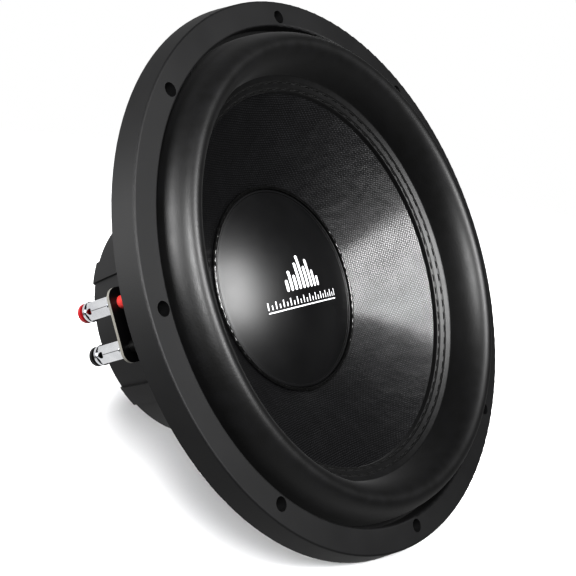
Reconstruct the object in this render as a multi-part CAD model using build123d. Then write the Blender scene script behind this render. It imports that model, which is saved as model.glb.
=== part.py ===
from build123d import *
import math
import os

# Twelve-inch car subwoofer driver, an assembly of separate pieces, in millimetres.
#
# The speaker's axis is the Y axis. The front of the speaker faces -Y and +Z is up. The origin is the
# centre of the bolt circle, on the rear face of the flange, which is the face that seats on a baffle. A
# depth is a Y value, and it grows towards the magnet. Angles go round the axis from +X towards +Z.

# --- Frame: trim ring, flange and bolts ---
trim_front_radius = 158.5
trim_skirt_flare = 2.5
trim_face_width = 14.5
trim_depth = 13.5
trim_edge_round = 1.2
trim_skirt_wall = 3.0
trim_lift = 0.2
flange_thickness = 4.0
bolt_count = 8
bolt_inset = 5.3
bolt_hole_radius = 2.75
trim_hole_radius = 3.8

# --- Clearances and glue lines ---
glue_gap = 0.1
seat_gap = 0.2
running_gap = 0.1
moving_gap = 1.5

# --- How far a cutter runs past the faces that it cuts ---
cut_over = 1.0

# --- Surround ---
roll_groove = 1.7
roll_half_width = 12.3
roll_half_height = 30.0
roll_centre_depth = 3.3
foam_thickness = 2.5
foam_flat_width = 2.5
foam_flat_thickness = 1.5
roll_foot_depth = -4.0
land_overhang = 1.6
land_width = 8.0
stitch_rows = (3.4, 6.7)
stitch_count = 84
stitch_length = 5.6
stitch_radius = 0.45

# --- Cone and dust cap ---
cone_slope = 0.6
cone_thickness = 1.5
cone_edge_depth = -0.6
cone_lip_length = 3.0
cone_lip_thickness = 1.4
cap_radius = 60.0
cap_height = 14.0
cap_thickness = 1.0
cap_lip_width = 1.8
cap_lip_height = 1.2
glue_bead_radius = 1.2
ink_thickness = 0.15

# --- Voice coil ---
former_bore_radius = 38.1
former_thickness = 0.4
winding_thickness = 0.8
cone_travel = 12.0
former_tail = 1.5

# --- Spider ---
spider_offset = 6.4
spider_thickness = 0.6
spider_outer_radius = 92.0
spider_wave_height = 2.2
spider_wave_count = 5
spider_neck_width = 3.5
spider_flat_width = 9.5
clamp_ring_thickness = 3.0

# --- Motor ---
top_plate_radius = 71.0
top_plate_thickness = 8.0
top_plate_gap = 2.0
magnet_radius = 71.8
magnet_bore_radius = 46.0
magnet_thickness = 17.0
back_plate_radius = 70.0
back_plate_thickness = 8.0
magnetic_gap = 0.9
pole_rise = 2.0
vent_radius = 12.0
vent_flare = 6.0
yoke_boss_radius = 42.0
yoke_boss_height = 2.4
shorting_ring_width = 5.8
screen_thickness = 0.6
screen_hole_radius = 1.0

# --- Basket below the flange ---
basket_wall = 3.0
shoulder_length = 18.0
shoulder_step = 3.0
landing_wall = 3.5
landing_thickness = 3.2
landing_rim_drop = 11.6
cup_wall = 3.5
seat_inner_radius = 58.0
seat_thickness = 4.0
spoke_count = 6
spoke_width = 17.0
spoke_rib_height = 5.0
spoke_rib_thickness = 3.0
window_corner = 6.0
window_margin = 5.5
cup_slot_count = 12
cup_slot_width = 9.0
cup_slot_height = 6.0
motor_screw_count = 6
motor_screw_circle = 66.0
screw_shank_radius = 2.4
screw_head_radius = 4.25
screw_head_height = 3.5
screw_reach = 6.0
screw_socket_radius = 2.2
screw_socket_depth = 2.0

# --- Magnet boot ---
boot_wall = 2.7
boot_taper = 4.4
boot_floor = 2.8
boot_round = 2.6
boot_mouth_radius = 46.0
boot_rib_count = 6
boot_rib_height = 1.5
boot_rib_sink = 1.0
boot_rib_arc = 10.0
boot_front_gap = 2.5

# --- Terminals ---
terminal_offset = 21.9
terminal_spacing = 23.6
board_thickness = 1.8
board_length = 40.0
board_overhang = 8.0
board_gap = 2.5
board_lift = 0.4
board_corner = 6.0
shelf_length = 15.0
shelf_width = 26.0
shelf_thickness = 3.0
rivet_radius = 1.5
rivet_head_radius = 2.8
rivet_head_height = 1.2
rivet_inset = 6.0
rivet_spacing = 18.0
stud_radius = 1.6
stud_end = 3.2
insulator_radius = 3.6
insulator_length = 9.0
washer_radius = 6.2
washer_thickness = 1.0
barrel_radius = 5.5
barrel_flats = 9.7
barrel_length = 22.6
barrel_collar = 2.6
barrel_lip = 1.8
barrel_groove_radius = 4.5
barrel_groove_width = 0.6
barrel_bore_radius = 3.3
barrel_floor = 3.0
wire_hole_radius = 1.7
wire_hole_setback = 5.0
cap_travel = 1.8
push_cap_radius = 5.3
push_cap_height = 2.4
push_cap_round = 0.8
push_cap_gap = 2.0
stem_length = 16.0
spring_wire_radius = 0.3
spring_turns = 4
spring_end_gap = 0.1
lug_radius = 3.9
lug_thickness = 0.8
lug_tail = 11.0
lug_tail_width = 3.0
nut_across_flats = 5.5
nut_height = 2.2

# --- Tinsel leads ---
lead_radius = 0.9
arc_share = 0.45

# --- Printed emblem ---
bar_base = -3.5
bar_heights = (7.0, 12.0, 9.0, 16.0, 20.0, 13.0, 17.0, 10.0, 6.0)
bar_width = 2.2
bar_pitch = 3.6
scale_drop = -11.5
scale_ticks = 23
tick_pitch = 2.9
tick_width = 0.8
tick_short = 2.6
tick_long = 4.4
scale_rule_height = 0.8
scale_rule_gap = 1.6

# --- Sizes that follow from the ones above ---
trim_inner_radius = trim_front_radius - trim_face_width
trim_skirt_radius = trim_front_radius + trim_skirt_flare
bolt_circle_radius = trim_inner_radius + bolt_inset
flange_radius = trim_skirt_radius - trim_skirt_wall - seat_gap
flange_front = -flange_thickness
foam_flat_front = flange_front - glue_gap - foam_flat_thickness

roll_centre_radius = trim_inner_radius - roll_groove - roll_half_width
roll_foot_rise = (roll_foot_depth - roll_centre_depth) / roll_half_height
roll_foot_half = roll_half_width * math.sqrt(1 - roll_foot_rise ** 2)
roll_inner_foot = roll_centre_radius - roll_foot_half
foam_flat_inner = roll_centre_radius + roll_foot_half - foam_thickness
foam_flat_outer = trim_inner_radius + foam_flat_width

cone_edge_radius = roll_inner_foot - land_overhang
land_inner_radius = roll_inner_foot - land_width
former_radius = former_bore_radius + former_thickness
neck_radius = former_radius + glue_gap
coil_radius = former_radius + 2 * winding_thickness


def cone_depth(radius):
    """Depth of the cone's front face at a radius."""
    return cone_edge_depth + cone_slope * (cone_edge_radius - radius)


slope_stretch = math.hypot(1, cone_slope)
neck_depth = cone_depth(neck_radius)
cone_lip_end = neck_depth + cone_lip_length
cap_rim_depth = cone_depth(cap_radius)
cap_sphere_radius = (cap_radius ** 2 + cap_height ** 2) / (2 * cap_height)
cap_sphere_depth = cap_rim_depth - cap_height + cap_sphere_radius

spider_depth = neck_depth + spider_offset
spider_front = spider_depth - spider_thickness / 2
landing_depth = spider_depth + spider_thickness / 2
landing_inner_radius = spider_outer_radius - spider_flat_width + seat_gap
cup_inner_radius = spider_outer_radius + 2 * running_gap + moving_gap
landing_outer_radius = cup_inner_radius + landing_wall
cup_outer_radius = landing_inner_radius + cup_wall

top_plate_front = spider_depth + cone_travel + top_plate_gap
magnet_front_start = top_plate_front + top_plate_thickness
magnet_rear_start = magnet_front_start + magnet_thickness
back_plate_front = magnet_rear_start + magnet_thickness
back_plate_rear = back_plate_front + back_plate_thickness
gap_centre = top_plate_front + top_plate_thickness / 2
coil_half_height = top_plate_thickness / 2 + cone_travel
former_front = neck_depth - moving_gap
former_rear = gap_centre + coil_half_height + former_tail
gap_outer_radius = coil_radius + magnetic_gap
pole_radius = former_bore_radius - magnetic_gap
pole_front = top_plate_front - pole_rise
shorting_ring_front = former_rear + cone_travel + moving_gap

shoulder_front_radius = roll_centre_radius + roll_foot_half + glue_gap
shoulder_rear_radius = shoulder_front_radius - shoulder_step
seat_front = top_plate_front - seat_thickness
landing_rear = landing_depth + landing_thickness
wall_rim_depth = landing_depth - landing_rim_drop

boot_inner_radius = magnet_radius + seat_gap
boot_rear_radius = boot_inner_radius + boot_wall
boot_front_radius = boot_rear_radius + boot_taper
boot_front = top_plate_front + boot_front_gap
boot_floor_front = back_plate_rear + seat_gap
boot_rear = boot_floor_front + boot_floor

board_front = wall_rim_depth + board_lift + shelf_thickness
board_rear = board_front + board_thickness
terminal_radius = landing_outer_radius + terminal_offset
barrel_front = board_rear + washer_thickness
barrel_rear = barrel_front + barrel_length
insulator_front = board_front - insulator_length
lug_front = insulator_front - lug_thickness
nut_front = lug_front - nut_height
stud_front = insulator_front - stud_end
push_cap_front = barrel_rear + push_cap_gap
stem_front = push_cap_front - stem_length
barrel_floor_depth = barrel_front + barrel_floor
wire_hole_depth = barrel_rear - wire_hole_setback

SIDES = {"right": 0.0, "left": 180.0}
POLES = {"positive": 1, "negative": -1}


def save(name, *solids):
    """Write one node: one piece, or several separate pieces that share a name."""
    shape = solids[0] if len(solids) == 1 else Compound(children=[Solid(s.solid().wrapped) for s in solids])
    export_step(shape, os.path.join("parts", name + ".step"))


def outline(*points):
    """Closed face in the plane of radius (X) and depth (Y)."""
    return make_face(Polyline(*points, close=True))


def softened(face, radius, *corners):
    """Round the face's corners that lie nearest to the given points."""
    picked = [min(face.vertices(), key=lambda v: math.hypot(v.X - x, v.Y - y)) for x, y in corners]
    return fillet(picked, radius)


def turned(face):
    """Solid of revolution about the speaker's axis."""
    return revolve(face, axis=Axis.Y)


def ring(inner, outer, front, rear):
    """Plain ring between two radii and two depths."""
    return turned(outline((inner, front), (outer, front), (outer, rear), (inner, rear)))


def rod(x, z, radius, front, rear):
    """Cylinder along the axis direction."""
    return Pos(x, (front + rear) / 2, z) * Rot(90, 0, 0) * Cylinder(radius, rear - front)


def prism(face, front, rear):
    """Extrude a face drawn in the X-Z plane between two depths."""
    return extrude(Plane.XZ.offset(-front) * face, amount=-(rear - front))


def at_angle(shape, angle):
    """Turn a shape round the axis, from +X towards +Z."""
    return Rot(0, -angle, 0) * shape


def angles(count, start=0.0):
    """Evenly spaced angles round the axis."""
    return [start + k * 360 / count for k in range(count)]


# --- Frame ---
def trim_ring():
    """Rubber ring that covers the flange and the surround's outer flat."""
    face_front = -trim_depth
    skirt_inner = flange_radius + seat_gap
    body = outline(
        (trim_inner_radius, face_front),
        (trim_front_radius, face_front),
        (trim_skirt_radius, -trim_lift),
        (skirt_inner, -trim_lift),
        (skirt_inner, flange_front - glue_gap),
        (foam_flat_outer + seat_gap, flange_front - glue_gap),
        (foam_flat_outer + seat_gap, foam_flat_front - glue_gap),
        (trim_inner_radius, foam_flat_front - glue_gap),
    )
    body = softened(body, trim_edge_round, (trim_inner_radius, face_front), (trim_front_radius, face_front))
    body = turned(body)
    for angle in angles(bolt_count):
        hole = rod(bolt_circle_radius, 0, trim_hole_radius, face_front - cut_over, cut_over)
        body -= at_angle(hole, angle)
    return body


def wall_slope():
    """Depth gained for each millimetre of radius lost on the basket's sloping wall."""
    run = shoulder_rear_radius - landing_outer_radius
    return (wall_rim_depth - shoulder_length) / run


def basket_profile():
    """Section of the basket, from the flange to the seat on the top plate."""
    wall_stretch = basket_wall * math.hypot(1, wall_slope())
    return outline(
        (foam_flat_inner, flange_front),
        (shoulder_rear_radius - basket_wall, shoulder_length - basket_wall / 2),
        (landing_outer_radius, wall_rim_depth - wall_stretch),
        (cup_inner_radius, wall_rim_depth - basket_wall / 2),
        (cup_inner_radius, landing_depth),
        (landing_inner_radius, landing_depth),
        (landing_inner_radius, seat_front),
        (seat_inner_radius, seat_front),
        (seat_inner_radius, top_plate_front),
        (cup_outer_radius, top_plate_front),
        (cup_outer_radius, landing_rear),
        (landing_outer_radius, landing_rear),
        (landing_outer_radius, wall_rim_depth),
        (shoulder_rear_radius, shoulder_length),
        (shoulder_front_radius, 0),
        (flange_radius, 0),
        (flange_radius, flange_front),
    )


def window_cutter():
    """Openings between the spokes, with round corners."""
    inner = landing_outer_radius + window_margin
    outer = shoulder_rear_radius - window_margin
    face = Circle(outer) - Circle(inner)
    for angle in angles(spoke_count):
        bar = Pos(outer / 2, 0) * Rectangle(outer + 2 * cut_over, spoke_width)
        face -= Rot(0, 0, angle) * bar
    face = fillet(face.vertices(), window_corner)
    return prism(face, flange_front, landing_depth)


def spoke_rib():
    """One upright rib along a spoke, on the rear of the sloping wall."""
    sunk = basket_wall / 2
    face = outline(
        (landing_outer_radius - sunk, wall_rim_depth - sunk),
        (landing_outer_radius - sunk, board_front - shelf_thickness),
        (landing_outer_radius + window_margin / 2, board_front - shelf_thickness),
        (shoulder_rear_radius, shoulder_length + spoke_rib_height),
        (shoulder_rear_radius + sunk / 3, shoulder_length - spoke_rib_height),
        (shoulder_rear_radius - sunk, shoulder_length - sunk),
    )
    return Pos(0, 0, -spoke_rib_thickness / 2) * extrude(face, amount=spoke_rib_thickness)


def terminal_shelf():
    """Flat tab on the outside of the spider landing that carries a terminal board."""
    reach = landing_outer_radius + shelf_length
    depth = landing_outer_radius - landing_wall / 2
    face = Pos((reach + depth) / 2, 0) * RectangleRounded(reach - depth, shelf_width, rivet_radius)
    shelf = prism(face, board_front - shelf_thickness, board_front)
    for z in (-rivet_spacing / 2, rivet_spacing / 2):
        shelf_front = board_front - shelf_thickness
        shelf -= rod(rivet_x(), z, rivet_radius + running_gap, shelf_front - cut_over, board_rear)
    return shelf


def rivet_x():
    """Distance of the board's rivets from the axis."""
    return landing_outer_radius + board_gap + rivet_inset


def basket():
    """Cast basket: flange, shoulder, spokes, spider landing, slotted cup and motor seat."""
    body = turned(basket_profile()) - window_cutter()
    rib_place = (spoke_width - spoke_rib_thickness) / 2
    for angle in angles(spoke_count):
        for side in (-rib_place, rib_place):
            body += at_angle(Pos(0, 0, side) * spoke_rib(), angle)
    for angle in SIDES.values():
        body += at_angle(terminal_shelf(), angle)
    for angle in angles(bolt_count):
        hole = rod(bolt_circle_radius, 0, bolt_hole_radius, flange_front - cut_over, cut_over)
        body -= at_angle(hole, angle)
    slot_depth = (landing_rear + seat_front) / 2
    for angle in angles(cup_slot_count, 180 / cup_slot_count):
        slot = Pos(cup_outer_radius, slot_depth, 0) * Box(4 * cup_wall, cup_slot_height, cup_slot_width)
        body -= at_angle(slot, angle)
    for angle in motor_screw_angles():
        radius = screw_shank_radius + 2 * running_gap
        hole = rod(motor_screw_circle, 0, radius, seat_front - cut_over, top_plate_front + cut_over)
        body -= at_angle(hole, angle)
    return body


# --- Motor ---
def motor_screw_angles():
    """Angles of the screws that hold the basket on the top plate."""
    return angles(motor_screw_count, 180 / motor_screw_count)


def top_plate():
    """Steel washer that forms the outer side of the magnetic gap."""
    body = ring(gap_outer_radius, top_plate_radius, top_plate_front, magnet_front_start)
    for angle in motor_screw_angles():
        front = top_plate_front - cut_over
        hole = rod(motor_screw_circle, 0, screw_shank_radius, front, top_plate_front + screw_reach)
        body -= at_angle(hole, angle)
    return body


def yoke():
    """Back plate and vented pole in one piece, with a raised boss at the rear."""
    face = outline(
        (vent_radius, pole_front),
        (pole_radius, pole_front),
        (pole_radius, back_plate_front),
        (back_plate_radius, back_plate_front),
        (back_plate_radius, back_plate_rear),
        (yoke_boss_radius, back_plate_rear),
        (yoke_boss_radius - yoke_boss_height, back_plate_rear + yoke_boss_height),
        (vent_radius + vent_flare, back_plate_rear + yoke_boss_height),
        (vent_radius, back_plate_rear + yoke_boss_height - vent_flare),
    )
    return turned(face)


def vent_screen():
    """Perforated disc pressed into the vent just ahead of its flare."""
    front = back_plate_rear + yoke_boss_height - vent_flare - screen_thickness
    body = rod(0, 0, vent_radius, front, front + screen_thickness)
    pitch = 3 * screen_hole_radius
    rows = int(vent_radius // pitch)
    for row in range(-rows, rows + 1):
        for column in range(-rows, rows + 1):
            x = pitch * (column + (row % 2) / 2)
            z = pitch * row * math.sqrt(3) / 2
            if math.hypot(x, z) < vent_radius - 1.5 * screen_hole_radius:
                body -= rod(x, z, screen_hole_radius, front - cut_over, front + screen_thickness + cut_over)
    return body


def motor_screws():
    """Cap screws from the seat into the top plate."""
    screws = []
    for angle in motor_screw_angles():
        head_front = seat_front - screw_head_height
        head = rod(motor_screw_circle, 0, screw_head_radius, head_front, seat_front)
        socket_end = head_front + screw_socket_depth
        socket = rod(motor_screw_circle, 0, screw_socket_radius, head_front - cut_over, socket_end)
        shank = rod(motor_screw_circle, 0, screw_shank_radius, seat_front, top_plate_front + screw_reach)
        screws.append(at_angle(head + shank - socket, angle))
    return screws


def magnet_boot():
    """Tapered rubber cover over the motor, with six wide ribs and an open rear mouth."""
    outer = softened(
        outline(
            (boot_inner_radius, boot_front),
            (boot_front_radius, boot_front),
            (boot_rear_radius, boot_rear),
            (boot_mouth_radius, boot_rear),
            (boot_mouth_radius, boot_floor_front),
            (boot_inner_radius, boot_floor_front),
        ),
        boot_round,
        (boot_rear_radius, boot_rear),
    )
    body = turned(outer)
    rib_face = softened(
        outline(
            (boot_inner_radius + boot_rib_sink, boot_front),
            (boot_front_radius + boot_rib_height, boot_front),
            (boot_rear_radius + boot_rib_height, boot_rear),
            (boot_inner_radius + boot_rib_sink, boot_rear),
        ),
        boot_round,
        (boot_rear_radius + boot_rib_height, boot_rear),
    )
    for angle in angles(boot_rib_count, 180 / boot_rib_count):
        rib = revolve(rib_face, axis=Axis.Y, revolution_arc=boot_rib_arc)
        centred = Rot(0, -boot_rib_arc / 2, 0) * rib
        body += at_angle(centred, angle)
    return body


# --- Cone assembly ---
def surround():
    """High foam roll with an outer flat under the trim ring and an inner land on the cone."""
    centre = Pos(roll_centre_radius, roll_centre_depth)
    arch = centre * Ellipse(roll_half_width, roll_half_height)
    arch -= centre * Ellipse(roll_half_width - foam_thickness, roll_half_height - foam_thickness)
    tall = 2 * roll_half_height
    arch -= Pos(roll_centre_radius, roll_foot_depth + tall) * Rectangle(4 * roll_half_width, 2 * tall)
    flat = outline(
        (foam_flat_inner, foam_flat_front),
        (foam_flat_outer, foam_flat_front),
        (foam_flat_outer, flange_front - glue_gap),
        (foam_flat_inner, flange_front - glue_gap),
    )
    foot_inner = roll_inner_foot + foam_thickness
    thick = foam_thickness * slope_stretch
    land = outline(
        (land_inner_radius, cone_depth(land_inner_radius)),
        (foot_inner, cone_depth(foot_inner)),
        (foot_inner, roll_foot_depth - foam_thickness),
        (roll_inner_foot + foam_thickness / 4, roll_foot_depth - foam_thickness),
        (roll_inner_foot, cone_depth(roll_inner_foot) - thick),
        (land_inner_radius, cone_depth(land_inner_radius) - thick),
    )
    return turned(arch + flat + land)


def surround_stitching():
    """Two rows of thread stitches on the land."""
    stitches = []
    lift = (foam_thickness + stitch_radius) * slope_stretch
    for row in stitch_rows:
        radius = roll_inner_foot - row
        depth = cone_depth(radius) - lift
        stitch = Pos(radius, depth, 0) * Cylinder(stitch_radius, stitch_length)
        stitches += [at_angle(stitch, angle) for angle in angles(stitch_count)]
    return stitches


def cone():
    """Straight-sided cone with a short neck that is glued on the former."""
    thick = cone_thickness * slope_stretch
    lip_outer = neck_radius + cone_lip_thickness
    face = outline(
        (cone_edge_radius, cone_depth(cone_edge_radius)),
        (cone_edge_radius, cone_depth(cone_edge_radius) + thick),
        (lip_outer, cone_depth(lip_outer) + thick),
        (lip_outer, cone_lip_end),
        (neck_radius, cone_lip_end),
        (neck_radius, neck_depth),
    )
    return turned(face)


def dust_cap():
    """Shallow dome with a small raised lip at its rim."""
    back = cap_sphere_radius - cap_thickness
    lip_inner = cap_radius - cap_lip_width
    lip_front = sphere_depth(lip_inner, cap_sphere_radius) - cap_lip_height
    dome = Pos(0, cap_sphere_depth) * (Circle(cap_sphere_radius) - Circle(back))
    dome &= Pos(lip_inner / 2, cap_rim_depth - cap_height) * Rectangle(lip_inner, 2 * cap_height)
    lip = outline(
        (lip_inner - cap_thickness / 2, sphere_depth(lip_inner, cap_sphere_radius) + cap_thickness / 4),
        (lip_inner - cap_thickness / 2, lip_front + cap_thickness),
        (lip_inner, lip_front),
        (cap_radius, lip_front + cap_thickness / 2),
        (cap_radius, cone_depth(cap_radius)),
        (lip_inner - cap_thickness / 2, cone_depth(lip_inner - cap_thickness / 2)),
    )
    return turned(dome + lip)


def sphere_depth(radius, sphere_radius):
    """Depth of the dome's face at a radius, for a sphere round the dome's centre."""
    return cap_sphere_depth - math.sqrt(sphere_radius ** 2 - radius ** 2)


def cap_glue_bead():
    """Bead of glue in the corner between the cap's rim and the cone."""
    centre_radius = cap_radius + glue_bead_radius
    centre_depth = cone_depth(centre_radius) - glue_bead_radius * slope_stretch
    return turned(Pos(centre_radius, centre_depth) * Circle(glue_bead_radius))


def emblem_shapes():
    """Level-meter bars over a tick scale, as flat faces."""
    shapes = []
    half = (len(bar_heights) - 1) / 2
    for index, height in enumerate(bar_heights):
        bar = RectangleRounded(bar_width, height, bar_width * arc_share)
        shapes.append(Pos((index - half) * bar_pitch, bar_base + height / 2) * bar)
    for index in range(scale_ticks):
        tall = tick_long if index % 2 == 0 else tick_short
        place = Pos((index - (scale_ticks - 1) / 2) * tick_pitch, scale_drop + tall / 2)
        shapes.append(place * Rectangle(tick_width, tall))
    rule_width = (scale_ticks - 1) * tick_pitch + tick_width
    shapes.append(Pos(0, scale_drop - scale_rule_gap) * Rectangle(rule_width, scale_rule_height))
    return shapes


def cap_emblem():
    """Printed graphic on the dust cap: a thin layer of ink on the dome."""
    centre = Pos(0, cap_sphere_depth, 0)
    face = centre * Sphere(cap_sphere_radius)
    ink_face = centre * Sphere(cap_sphere_radius + ink_thickness)
    apex = cap_rim_depth - cap_height
    return [(prism(shape, apex - cut_over, apex + cap_height) & ink_face) - face for shape in emblem_shapes()]


def winding(level):
    """One of the two voice-coil windings, level 0 next to the former."""
    inner = former_radius + level * winding_thickness
    front = gap_centre - coil_half_height
    return ring(inner, inner + winding_thickness, front, gap_centre + coil_half_height)


def spider():
    """Corrugated cloth disc between the former and the landing."""
    wave_start = former_radius + spider_neck_width
    wave_end = spider_outer_radius - spider_flat_width
    steps = 8 * spider_wave_count
    front, rear = [], []
    for step in range(steps + 1):
        share = step / steps
        radius = wave_start + share * (wave_end - wave_start)
        depth = spider_wave_height * math.sin(2 * math.pi * spider_wave_count * share)
        front.append((radius, spider_front + depth))
        rear.append((radius, spider_front + spider_thickness + depth))
    edge = [
        Spline(*front),
        Polyline(
            front[-1],
            (spider_outer_radius, spider_front),
            (spider_outer_radius, landing_depth),
            rear[-1],
        ),
        Spline(*rear),
        Polyline(
            rear[0],
            (former_radius, landing_depth),
            (former_radius, spider_front),
            front[0],
        ),
    ]
    return turned(make_face(edge))


def spider_clamp_ring():
    """Ring that holds the spider's edge down on the landing."""
    inner = spider_outer_radius - spider_flat_width + 2 * running_gap
    return ring(inner, spider_outer_radius, spider_front - clamp_ring_thickness, spider_front)


# --- Terminals, built at the +X side and turned to their place ---
def terminal_z(pole):
    """Height of a terminal above the board's middle."""
    return pole * terminal_spacing / 2


def terminal_board():
    """Flat insulating board that carries two terminals."""
    inner = landing_outer_radius + board_gap
    outer = terminal_radius + board_overhang
    face = Pos((inner + outer) / 2, 0) * RectangleRounded(outer - inner, board_length, board_corner)
    board = prism(face, board_front, board_rear)
    for pole in POLES.values():
        z = terminal_z(pole)
        radius = stud_radius + running_gap
        board -= rod(terminal_radius, z, radius, board_front - cut_over, board_rear + cut_over)
    for z in (-rivet_spacing / 2, rivet_spacing / 2):
        radius = rivet_radius + running_gap
        board -= rod(rivet_x(), z, radius, board_front - cut_over, board_rear + cut_over)
    return board


def rivet(z):
    """Rivet through the board and its shelf."""
    x = rivet_x()
    front = board_front - shelf_thickness
    shank = rod(x, z, rivet_radius, front, board_rear)
    heads = rod(x, z, rivet_head_radius, front - rivet_head_height, front)
    return shank + heads + rod(x, z, rivet_head_radius, board_rear, board_rear + rivet_head_height)


def terminal_barrel(pole):
    """Turned barrel with flats, a bore for the plunger, a wire hole and a threaded stud."""
    z = terminal_z(pole)
    place = Pos(terminal_radius, 0, z)
    body = rod(terminal_radius, z, barrel_radius, barrel_front, barrel_rear)
    flats = RegularPolygon(barrel_flats / 2, 6, major_radius=False)
    flats_front = barrel_front + barrel_collar
    flats_rear = barrel_rear - barrel_lip
    core = place * prism(flats, flats_front, flats_rear)
    waist = rod(terminal_radius, z, 2 * barrel_radius, flats_front, flats_rear)
    body = (body - waist) + (body & core)
    for start in (flats_front, flats_rear - barrel_groove_width):
        body -= ring_at(pole, 2 * barrel_radius, barrel_groove_radius, start, start + barrel_groove_width)
    body -= rod(terminal_radius, z, barrel_bore_radius, barrel_floor_depth, barrel_rear + cut_over)
    across = Pos(terminal_radius, wire_hole_depth, z) * Rot(0, 90, 0)
    body -= across * Cylinder(wire_hole_radius, 4 * barrel_radius)
    return body + rod(terminal_radius, z, stud_radius, stud_front, barrel_front)


def ring_at(pole, radius, hole, front, rear):
    """Flat ring round a terminal's stud."""
    z = terminal_z(pole)
    bore = rod(terminal_radius, z, hole, front - cut_over, rear + cut_over)
    return rod(terminal_radius, z, radius, front, rear) - bore


def terminal_insulator(pole):
    """Coloured sleeve on the stud ahead of the board."""
    return ring_at(pole, insulator_radius, stud_radius + running_gap, insulator_front, board_front)


def terminal_washer(pole):
    """Washer between the barrel and the board."""
    return ring_at(pole, washer_radius, stud_radius + running_gap, board_rear, barrel_front)


def solder_lug(pole):
    """Lug with a tail that points at the speaker's axis."""
    z = terminal_z(pole)
    eye = rod(terminal_radius, z, lug_radius, lug_front, insulator_front)
    tail_face = Pos(terminal_radius - lug_tail / 2, z) * Rectangle(lug_tail, lug_tail_width)
    body = eye + prism(tail_face, lug_front, insulator_front)
    hole_radius = stud_radius + running_gap
    return body - rod(terminal_radius, z, hole_radius, lug_front - cut_over, insulator_front + cut_over)


def terminal_nut(pole):
    """Hexagon nut on the end of the stud."""
    z = terminal_z(pole)
    face = Pos(terminal_radius, z) * RegularPolygon(nut_across_flats / 2, 6, major_radius=False)
    hole = rod(terminal_radius, z, stud_radius, nut_front - cut_over, lug_front + cut_over)
    return prism(face, nut_front, lug_front) - hole


def push_cap(pole):
    """Cap that a thumb presses, in one piece with its drilled stem."""
    z = terminal_z(pole)
    button = rod(terminal_radius, z, push_cap_radius, push_cap_front, push_cap_front + push_cap_height)
    rim = button.edges().group_by(Axis.Y)[-1]
    button = fillet(rim, push_cap_round)
    stem = rod(terminal_radius, z, barrel_bore_radius - running_gap, stem_front, push_cap_front)
    hole_depth = wire_hole_depth + cap_travel
    across = Pos(terminal_radius, hole_depth, z) * Rot(0, 90, 0)
    return button + stem - across * Cylinder(wire_hole_radius, 4 * barrel_radius)


def terminal_spring(pole):
    """Coil spring between the barrel's floor and the stem."""
    start = barrel_floor_depth + spring_wire_radius + spring_end_gap
    height = stem_front - spring_wire_radius - spring_end_gap - start
    coil_radius_mean = barrel_bore_radius - spring_wire_radius - 2 * running_gap
    line = Helix(height / spring_turns, height, coil_radius_mean)
    wire = sweep(Plane(line @ 0, z_dir=line % 0) * Circle(spring_wire_radius), path=line, is_frenet=True)
    return Pos(terminal_radius, start, terminal_z(pole)) * Rot(-90, 0, 0) * wire


# --- Tinsel leads ---
def lead_points(pole):
    """Route of a lead, from the solder lug's tail to the former just behind the cone's neck."""
    tail_end = terminal_radius - lug_tail
    z = terminal_z(pole)
    lug_depth = (lug_front + insulator_front) / 2
    end_x = former_radius + lead_radius
    return [
        Vector(tail_end - lead_radius, lug_depth, z),
        Vector(100.5, 31.0, pole * 11.6),
        Vector(88.0, 35.0, pole * 11.0),
        Vector(74.0, 40.6, pole * 10.2),
        Vector(61.0, 46.0, pole * 9.4),
        Vector(49.5, 47.6, pole * 8.4),
        Vector(end_x, neck_depth + spider_offset / 2 + lead_radius, pole * 7.4),
    ]


def tinsel_lead(pole):
    """Braided lead as a round tube on straight runs joined by tangent arcs."""
    points = lead_points(pole)
    radii = []
    for before, corner, after in zip(points, points[1:], points[2:]):
        turn = math.radians((corner - before).get_angle(after - corner))
        shorter = min((corner - before).length, (after - corner).length)
        radii.append(arc_share * shorter / math.tan(turn / 2))
    path = FilletPolyline(*points, radius=radii)
    return sweep(Plane(points[0], z_dir=points[1] - points[0]) * Circle(lead_radius), path=path)


os.makedirs("parts", exist_ok=True)

save("trim_ring", trim_ring())
save("basket", basket())
save("top_plate", top_plate())
save("magnet_front", ring(magnet_bore_radius, magnet_radius, magnet_front_start, magnet_rear_start))
save("magnet_rear", ring(magnet_bore_radius, magnet_radius, magnet_rear_start, back_plate_front))
save("yoke", yoke())
shorting_ring_radius = pole_radius + shorting_ring_width
save("shorting_ring", ring(pole_radius, shorting_ring_radius, shorting_ring_front, back_plate_front))
save("vent_screen", vent_screen())
save("motor_screws", *motor_screws())
save("magnet_boot", magnet_boot())
save("cone", cone())
save("surround", surround())
save("surround_stitching", *surround_stitching())
save("dust_cap", dust_cap())
save("cap_glue_bead", cap_glue_bead())
save("cap_emblem", *cap_emblem())
save("coil_former", ring(former_bore_radius, former_radius, former_front, former_rear))
save("coil_winding_inner", winding(0))
save("coil_winding_outer", winding(1))
save("spider", spider())
save("spider_clamp_ring", spider_clamp_ring())

# Turning a terminal to the left side also turns it over, so the poles swap and positive stays on top.
for side, side_angle in SIDES.items():
    over = 1 if side == "right" else -1
    save("terminal_board_" + side, at_angle(terminal_board(), side_angle))
    save("tinsel_leads_" + side, *[at_angle(tinsel_lead(pole), side_angle) for pole in POLES.values()])
    for pole_name, pole in POLES.items():
        tag = side + "_" + pole_name
        save("terminal_barrel_" + tag, at_angle(terminal_barrel(over * pole), side_angle))
        save("terminal_insulator_" + tag, at_angle(terminal_insulator(over * pole), side_angle))
        save("push_cap_" + tag, at_angle(push_cap(over * pole), side_angle))
        save("terminal_spring_" + tag, at_angle(terminal_spring(over * pole), side_angle))

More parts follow.
